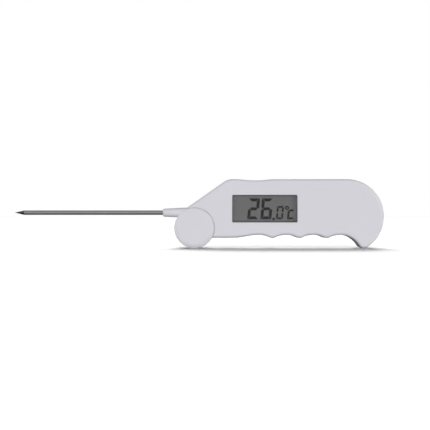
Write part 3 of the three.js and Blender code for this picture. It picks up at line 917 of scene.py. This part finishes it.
class BuildScrews(bpy.types.Operator):
    """Builds the screws that can be seen: five in the back and one in the hub."""

    bl_idname = "thermometer.build_screws"
    bl_label = "Build screws"

    def execute(self, context):
        steel = finish("screw_steel")
        for i, centre in enumerate(SCREWS, start=1):
            low, high = span(f"case_screw_{i}")
            piece = screw(f"shell_screw_{i}", centre, (high.x - low.x) / 2, (4.6, high.y), 1.05, low.y)
            fit(piece, "housing", steel, [f"case_screw_{i}"])
        low, high = span("hub_screw")
        piece = screw("pivot_screw", middle("hub_screw"), (high.x - low.x) / 2, (7.6, high.y), 1.2, low.y)
        fit(piece, "probe", steel, ["hub_screw"])
        return {"FINISHED"}


# Battery cover


def battery_door():
    low, high = span("battery_cover")
    edge = 0.45
    rim = arc(14.6 - edge, high.y - edge, edge, 0, 90, 6)
    inside = [(0, 6.9), (10.5, 6.9), (10.5, low.y), (11.3, low.y), (11.3, 8.35), (14.45, 8.35), (14.6, 8.5)]
    groove = [(9.2, high.y), (9.05, high.y - 0.18), (8.75, high.y - 0.18), (8.6, high.y), (0, high.y)]
    profile = [*inside, *rim, *groove]
    piece = turned("battery_door", profile, CELL_U, CELL_Z, steps=160)
    turned_to = [angle + COVER.unlock for angle in COVER.bayonets]
    weld(piece, *(slice_of("tab", 12.7, 11, angle, 14, low.y + 0.05, 6.4) for angle in turned_to))
    slot_half = 6.5 - 1
    right = arc(CELL_U + slot_half, CELL_Z, 1, -90, 90, 12)
    left = arc(CELL_U - slot_half, CELL_Z, 1, 90, 270, 12)
    cut(piece, slab("coin_slot", joined(right, left), high.y - 1.3, high.y + 1))
    cut(piece, arrow_head("mark", 90, 11.9, -0.9, high.y - 0.25, high.y + 1))
    round_edges(
        piece, 0.25, 3,
        lambda u, y, z: near(y, high.y) and abs(z - CELL_Z) < 1.02 and abs(u - CELL_U) < 6.6,
    )
    return piece


class BuildBatteryCover(bpy.types.Operator):
    """Builds the round battery cover with its coin slot and bayonet tabs."""

    bl_idname = "thermometer.build_battery_cover"
    bl_label = "Build battery cover"

    def execute(self, context):
        fit(battery_door(), "battery_cover", finish("white_plastic"), ["battery_cover"])
        return {"FINISHED"}


# Hub and probe


CROWN_SLOPE = math.radians(35)


def cap(name, probe, side, outer_y):
    """A hub cap with a gently crowned border, its journal and its hexagonal drive."""
    r, edge = probe.hub, probe.edge
    sweep_r = (probe.crown - edge * (1 - math.sin(CROWN_SLOPE))) / math.sin(CROWN_SLOPE)
    border = []
    for i in range(9):
        turn = CROWN_SLOPE * i / 8
        sunk = sweep_r * (1 - math.cos(turn))
        border.append((r - probe.crown + sweep_r * math.sin(turn), outer_y - sunk))
    end_r, end_y = border[-1]
    for i in range(1, 7):
        turn = CROWN_SLOPE + (math.pi / 2 - CROWN_SLOPE) * i / 6
        border.append((
            end_r + edge * (math.sin(turn) - math.sin(CROWN_SLOPE)),
            end_y + edge * (math.cos(turn) - math.cos(CROWN_SLOPE)),
        ))
    journal = [(0, 4), (6.7, 4), (6.9, 4.2), (6.9, 6.35), (r - 0.2, 6.35), (r, 6.55)]
    profile = [*journal, *reversed(border), (0, outer_y)]
    piece = turned(name, [(radius, side * y) for radius, y in profile], steps=160)
    return weld(piece, drum("drive", 4.3, side * 0.2, side * 5, sides=6))


def rear_cap(probe):
    high = span("hub_rear_cap")[1].y
    piece = cap("rear_cap", probe, 1, high)
    cut(piece, washer("washer_seat", 12, 8, 6, 7.15), drum("head_well", 2.7, 7.45, 12, sides=64))
    cut(piece, drum("screw_hole", 1.4, -1, 8, sides=32))
    return round_edges(piece, 0.3, 3, lambda u, y, z: near(y, high) and math.hypot(u, z - PIVOT_Z) < 2.8)


def front_cap(probe):
    piece = cap("front_cap", probe, -1, -span("hub_front_cap")[0].y)
    return cut(piece, drum("screw_hole", 1.35, -5.5, 0, sides=32))


def sleeve_profile():
    """The arm's taper from the hub to its rounded mouth, as (radius, u)."""
    mouth, root_r, end_r = -23.4, 3.75, 2.98
    taper = (root_r - end_r) / 15.7
    start = -22.2
    r0 = root_r + taper * (start + 5.8)
    nose = [(r0 - 1.0 + 1.0 * math.cos(t), start - 1.2 * math.sin(t)) for t in
            (math.radians(9 * i) for i in range(11))]
    return [(0, 0), (3.3, 0), (3.55, -2.5), (root_r, -5.8), *nose, (0, mouth)]


def needle_arm(probe):
    reach = 3.85
    piece = drum("needle_arm", probe.core, -reach, reach, sides=160)
    round_edges(piece, 0.3, 3, lambda u, y, z: True)
    weld(piece, turned("sleeve", sleeve_profile(), z=NEEDLE_Z, along="X", steps=72))
    bore = NEEDLE_HIGH.z - NEEDLE_Z + 0.12
    cut(piece, turned("tube_bore", [(0, -8), (bore, -8), (bore, -24.4), (0, -24.4)], z=NEEDLE_Z, along="X"))
    bore = [(0, -9), (1.2, -9), (1.2, -3.2), (0, -3.2)]
    cut(piece, turned("lead_bore", bore, z=NEEDLE_Z, along="X", steps=32))
    cut(piece, washer("lead_well", 8.2, 5.2, -5, 1.3), drum("drive", 4.5, -5, 5, sides=6))
    cut(piece, washer("front_groove", 10.25, 8.75, -5, -2.55), washer("rear_groove", 10.25, 8.75, 2.55, 5))
    magnet = middle("wake_magnet")
    cut(piece, drum("magnet_well", 1.6, -5, -1.1, magnet.x, magnet.z, 32))
    return piece


def needle_tube():
    r = NEEDLE_HIGH.z - NEEDLE_Z
    low, high = NEEDLE_LOW.x - 0.28, NEEDLE_HIGH.x
    profile = [(1.25, high), (r, high), (r, low + 0.02), (r - 0.02, low), (1.25, low)]
    return turned("needle_tube", profile, z=NEEDLE_Z, along="X", steps=72)


def needle_tip():
    r, base = NEEDLE_HIGH.z - NEEDLE_Z, NEEDLE_LOW.x - 0.3
    point = TIP_LOW.x
    turns = [math.radians(80 - 20 * i) for i in range(4)]
    end = [(0.1 * math.sin(t), point + 0.1 - 0.1 * math.cos(t)) for t in turns]
    profile = [(0, base + 1.8), (1.1, base + 1.8), (1.1, base), (r - 0.02, base), (r, base - 0.03),
               (r - 0.04, base - 0.25), *end, (0, point)]
    return turned("needle_tip", profile, z=NEEDLE_Z, along="X", steps=72)


class BuildProbe(bpy.types.Operator):
    """Builds the hub's caps, the arm between them, and the needle."""

    bl_idname = "thermometer.build_probe"
    bl_label = "Build probe"

    def execute(self, context):
        probe = in_mm(context.scene.thermometer_probe)
        white = finish("white_plastic")
        fit(front_cap(probe), "probe", white, ["hub_front_cap"])
        fit(rear_cap(probe), "probe", white, ["hub_rear_cap"])
        fit(needle_arm(probe), "probe", white, ["probe_arm"])
        fit(needle_tube(), "probe", finish("needle_steel"), ["probe_tube"])
        fit(needle_tip(), "probe", finish("tip_steel"), ["probe_tip"])
        return {"FINISHED"}


# Display

SIGNS = {"2": "abged", "6": "acdefg", "0": "abcdef", "c": "deg"}
LEAN = 0.088


def segments(sign, u, z, wide, high, thick, gap):
    """The outlines of one sign's segments, mitred to each other. u and z are its lower left corner."""
    mid, half = high / 2, thick / 2
    foot = [(0, 0), (wide, 0), (wide - thick, thick), (thick, thick)]
    waist = [(half, mid), (thick, mid - half), (wide - thick, mid - half)]
    waist += [(wide - x, 2 * mid - y) for x, y in waist]
    side = [(0, 0), (thick, thick), (thick, mid - half), (half, mid), (0, mid - 0.35 * thick)]
    shapes = {
        "a": [(x, high - y) for x, y in reversed(foot)],
        "b": [(wide - x, high - y) for x, y in side],
        "c": [(wide - x, y) for x, y in reversed(side)],
        "d": foot,
        "e": side,
        "f": [(x, high - y) for x, y in reversed(side)],
        "g": waist,
    }
    return [[(u + x + y * LEAN, z + y) for x, y in grown(shapes[key], -gap / 2)] for key in SIGNS[sign]]


# Each sign with its left edge, width, height, thickness of segment and gap between segments
READING = [
    ("2", 38.4, 8.3, 15.5, 2.35, 0.2),
    ("6", 48.0, 8.3, 15.5, 2.35, 0.2),
    ("0", 59.35, 5.5, 10.0, 1.75, 0.32),
    ("c", 67.6, 5.4, 13.3, 1.6, 0.12),
]
READING_Z = 20.95


class BuildDisplay(bpy.types.Operator):
    """Builds the lens, the display's face and the reading on it."""

    bl_idname = "thermometer.build_display"
    bl_label = "Build display"

    def execute(self, context):
        lens = slab(
            "window_lens",
            rounded(WINDOW.x, WINDOW.z, LENS_HIGH.x - LENS_LOW.x, LENS_HIGH.z - LENS_LOW.z, 0.8),
            LENS_LOW.y, LENS_HIGH.y,
        )
        round_edges(lens, 0.1, 2, at_y(LENS_LOW.y))
        fit(lens, "housing", finish("lens_plastic"), ["display_lens"])
        low, high = span("lcd_polariser")
        face_outline = rounded(WINDOW.x, WINDOW.z, high.x - low.x, high.z - low.z, 0.2)
        face = slab("display_face", face_outline, low.y, high.y)
        fit(face, "housing", finish("display_ground_painted_shade"), ["lcd_polariser"])
        y0, y1 = low.y - 0.05, low.y - 0.01
        bars = [corners for sign, u, *size in READING for corners in segments(sign, u, READING_Z, *size)]
        made = [slab("segment", corners, y0, y1) for corners in bars]
        made.append(drum("point", 1.05, y0, y1, 57.9, READING_Z + 0.35, 24))
        made.append(washer("degree", 1.5, 0.6, y0, y1, 67.7, 29.4, 32))
        reading = as_one(made)
        reading.name = "display_reading"
        fit(reading, "housing", finish("display_ink"))
        return {"FINISHED"}


# Pieces that keep their CAD shape

INNER_FINISHES = {
    "inner_glass": ["lcd_front_glass", "lcd_rear_glass", "reed_switch"],
    "display_film": ["lcd_reflector"],
    "white_plastic": ["lcd_frame", "unit_switch_slider"],
    "rubber": [
        "zebra_strip_upper", "zebra_strip_lower",
        "battery_cover_seal", "hub_seal_front", "hub_seal_rear",
    ],
    "solder_mask": ["circuit_board"],
    "black_resin": [
        "controller_chip", "reservoir_capacitor", "unit_switch_body",
        "battery_holder", "thermistor",
    ],
    "cell_steel": ["timing_crystal", "coin_cell", "wake_magnet", "friction_washer"],
    "brass": ["battery_contact_positive", "battery_contact_negative"],
    "screw_steel": ["board_screw_1", "board_screw_2", "board_screw_3"],
    "lead_insulation": ["board_lead_1", "board_lead_2", "probe_lead_1", "probe_lead_2"],
}


class FinishInnerPieces(bpy.types.Operator):
    """Gives the pieces that keep their CAD shape their materials."""

    bl_idname = "thermometer.finish_inner_pieces"
    bl_label = "Finish inner pieces"

    def execute(self, context):
        for name, nodes in INNER_FINISHES.items():
            for node in nodes:
                piece = frame["nodes"][node]
                piece.data.materials.clear()
                piece.data.materials.append(finish(name))
        return {"FINISHED"}


# Stage


# Each sun's name, heading from +X, elevation and angular size in degrees, and strength
FLOOR_SUNS = (
    ("floor_light_behind", -90, 38, 40, 19.0),
    ("floor_light_in_front", 90, 42, 36, 7.4),
)
OBJECT_SUNS = (
    ("key_in_front", 90, 5, 24, 2.3),
    ("key_behind", -90, 5, 24, 2.3),
    ("rim_left", 0, 10, 12, 0.7),
    ("rim_right", 180, 6, 12, 1.3),
)


def soft_sun(name, heading, elevation, spread, strength):
    """A soft sun that leaves no glint and shines towards its heading."""
    data = bpy.data.lights.new(name, "SUN")
    data.angle = math.radians(spread)
    data.energy = strength
    sun = bpy.data.objects.new(name, data)
    bpy.context.scene.collection.objects.link(sun)
    turn, drop = math.radians(heading), math.radians(elevation)
    way = Vector((math.cos(turn) * math.cos(drop), math.sin(turn) * math.cos(drop), -math.sin(drop)))
    sun.rotation_euler = way.to_track_quat("-Z", "Y").to_euler()
    sun.visible_glossy = False
    return sun


def soft_sky():
    """What the object sees of the studio: dim walls, a dark floor, and a pale ceiling and front screen."""
    world = bpy.data.worlds.new("studio_walls")
    bpy.context.scene.world = world
    world.use_nodes = True
    sky = Nodes(world.node_tree)
    way = sky.node("ShaderNodeTexCoord", {}, {}, "Generated")
    x, y, z = (sky.node("ShaderNodeSeparateXYZ", {}, {0: way}, axis) for axis in "XYZ")
    height, depth = (z + 1) / 2, (y + 1) / 2
    walls = sky.ramp(height, (0.4, 0.03), (0.5, 0.12), (0.92, 0.12), (0.98, 0.5))
    strip = sky.ramp(height, (0.3, 0.0), (0.36, 1.0), (0.56, 1.0), (0.62, 0.0))
    narrow = sky.ramp(abs(x), (0.25, 1.0), (0.45, 0.0))
    in_front = sky.ramp(depth, (0.3, 1.0), (0.5, 0.0))
    shader = next(n for n in sky.tree.nodes if n.type == "BACKGROUND")
    sky.feed(shader, {"Color": walls + strip * narrow * in_front * 0.95})


def backdrop(half):
    """A white wall round the floor, which is there for the camera only."""
    bpy.ops.mesh.primitive_cylinder_add(
        vertices=96, radius=half * 0.98 * MM, depth=half * 1.5 * MM, end_fill_type="NOTHING"
    )
    wall = bpy.context.object
    wall.name = "studio_backdrop"
    white = Surface("studio_white")
    white.done(Base_Color=(0, 0, 0, 1), Roughness=1.0, Specular_IOR_Level=0.0, Emission_Color=(1, 1, 1, 1))
    white.feed(white.shader, {"Emission Strength": 1.0})
    wall.data.materials.append(white.material)
    wall.visible_diffuse = False
    wall.visible_glossy = False
    wall.visible_shadow = False
    return wall


class BuildStage(bpy.types.Operator):
    """Builds the floor, the lights and the camera."""

    bl_idname = "thermometer.build_stage"
    bl_label = "Build stage"

    def execute(self, context):
        stage = in_mm(context.scene.thermometer_stage)
        bpy.ops.object.select_all(action="DESELECT")
        bpy.ops.mesh.primitive_plane_add(size=2 * stage.floor_half * MM, location=(0, 0, -0.0001))
        floor = context.object
        floor.name = "studio_floor"
        ground = Surface("studio_ground")
        ground.done(Base_Color=(0.2, 0.2, 0.2, 1), Roughness=0.9, Specular_IOR_Level=0.0)
        floor.data.materials.append(ground.material)
        floor.visible_diffuse = False
        floor.visible_glossy = False
        floor.visible_shadow = False
        only_floor = bpy.data.collections.new("floor_light")
        only_floor.objects.link(floor)
        for sun in FLOOR_SUNS:
            soft_sun(*sun).light_linking.receiver_collection = only_floor
        for sun in OBJECT_SUNS:
            soft_sun(*sun)
        backdrop(stage.floor_half)
        soft_sky()
        camera_data = bpy.data.cameras.new("camera")
        camera = bpy.data.objects.new("camera", camera_data)
        context.scene.collection.objects.link(camera)
        camera.location = spot(stage.camera_u, CASE_LOW.y - stage.distance, stage.camera_z)
        camera.rotation_euler = (math.radians(90), 0, 0)
        camera_data.lens = camera_data.sensor_width * stage.distance / stage.field
        camera_data.clip_end = 50
        context.scene.camera = camera
        context.scene.view_settings.view_transform = "Standard"
        context.scene.view_settings.look = "None"
        return {"FINISHED"}


class ThermometerPanel(bpy.types.Panel):
    """The thermometer's steps and sizes, in the 3D view's sidebar."""

    bl_idname = "VIEW3D_PT_thermometer"
    bl_label = "Thermometer"
    bl_space_type = "VIEW_3D"
    bl_region_type = "UI"
    bl_category = "Thermometer"

    def draw(self, context):
        for step in STEPS:
            self.layout.operator(step.bl_idname)
        for key, (_, kind) in GROUPS.items():
            group = getattr(context.scene, key)
            for name in kind.__annotations__:
                self.layout.prop(group, name)


STEPS = (
    BuildStage,
    BuildCase,
    BuildScrews,
    BuildBatteryCover,
    BuildProbe,
    BuildDisplay,
    FinishInnerPieces,
)
GROUPS = {
    "thermometer_case": ("Case", CaseSizes),
    "thermometer_probe": ("Probe", ProbeSizes),
    "thermometer_finishes": ("Finishes", Finishes),
    "thermometer_stage": ("Stage", StageSettings),
}


def register():
    for _, kind in GROUPS.values():
        bpy.utils.register_class(kind)
    for step in (*STEPS, ThermometerPanel):
        bpy.utils.register_class(step)
    for key, (label, kind) in GROUPS.items():
        setattr(bpy.types.Scene, key, PointerProperty(name=label, type=kind))


def unregister():
    for key in GROUPS:
        delattr(bpy.types.Scene, key)
    for step in reversed((*STEPS, ThermometerPanel)):
        bpy.utils.unregister_class(step)
    for _, kind in GROUPS.values():
        bpy.utils.unregister_class(kind)


def main():
    register()
    for step in STEPS:
        group, name = step.bl_idname.split(".")
        getattr(getattr(bpy.ops, group), name)()


if __name__ == "__main__":
    main()
